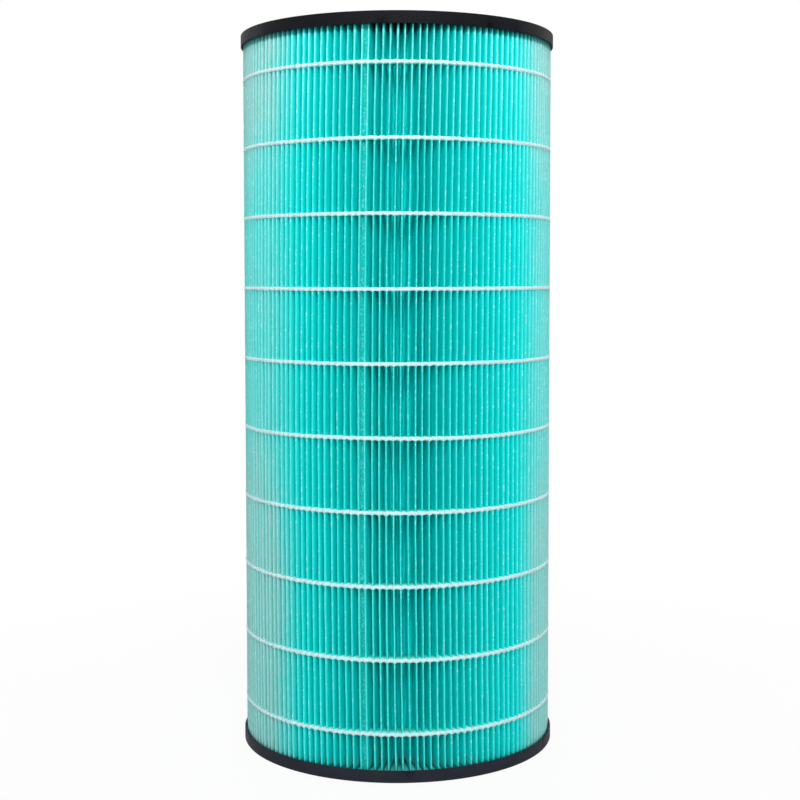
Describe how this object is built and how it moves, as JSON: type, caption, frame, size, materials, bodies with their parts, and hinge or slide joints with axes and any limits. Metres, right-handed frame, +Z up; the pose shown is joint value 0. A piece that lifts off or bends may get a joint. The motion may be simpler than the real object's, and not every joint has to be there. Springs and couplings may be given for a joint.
{
  "type": "pleated hepa filter cartridge",
  "caption": "Upright cylindrical HEPA cartridge: pleated teal media held by white glue beads between thin black end caps, one closed and one with a round outlet.",
  "frame": {"origin": "centre of the closed cap's outside face, which the cartridge stands on", "axes": "+Z up along the cartridge's axis, from the closed cap to the open one; the front seen in the picture faces -Y"},
  "size_m": [0.203, 0.203, 0.4615],
  "materials": {
    "filter_paper": "teal non-woven filter media",
    "bead_glue": "white hot-melt glue",
    "potting_glue": "off-white potting glue",
    "cap_plastic": "black moulded plastic",
    "gasket_rubber": "black foam rubber"
  },
  "bodies": {
    "root": {"pleated_media": "filter_paper", "seam_bond": "bead_glue", "closed_cap": "cap_plastic", "closed_end_potting": "potting_glue", "open_cap": "cap_plastic", "open_end_potting": "potting_glue", "gasket": "gasket_rubber", "outer_bead_01": "bead_glue", "outer_bead_02": "bead_glue", "outer_bead_03": "bead_glue", "outer_bead_04": "bead_glue", "outer_bead_05": "bead_glue", "outer_bead_06": "bead_glue", "outer_bead_07": "bead_glue", "outer_bead_08": "bead_glue", "outer_bead_09": "bead_glue", "outer_bead_10": "bead_glue", "inner_bead_01": "bead_glue", "inner_bead_02": "bead_glue", "inner_bead_03": "bead_glue", "inner_bead_04": "bead_glue", "inner_bead_05": "bead_glue", "inner_bead_06": "bead_glue", "inner_bead_07": "bead_glue", "inner_bead_08": "bead_glue", "inner_bead_09": "bead_glue", "inner_bead_10": "bead_glue"}
  },
  "joints": []
}
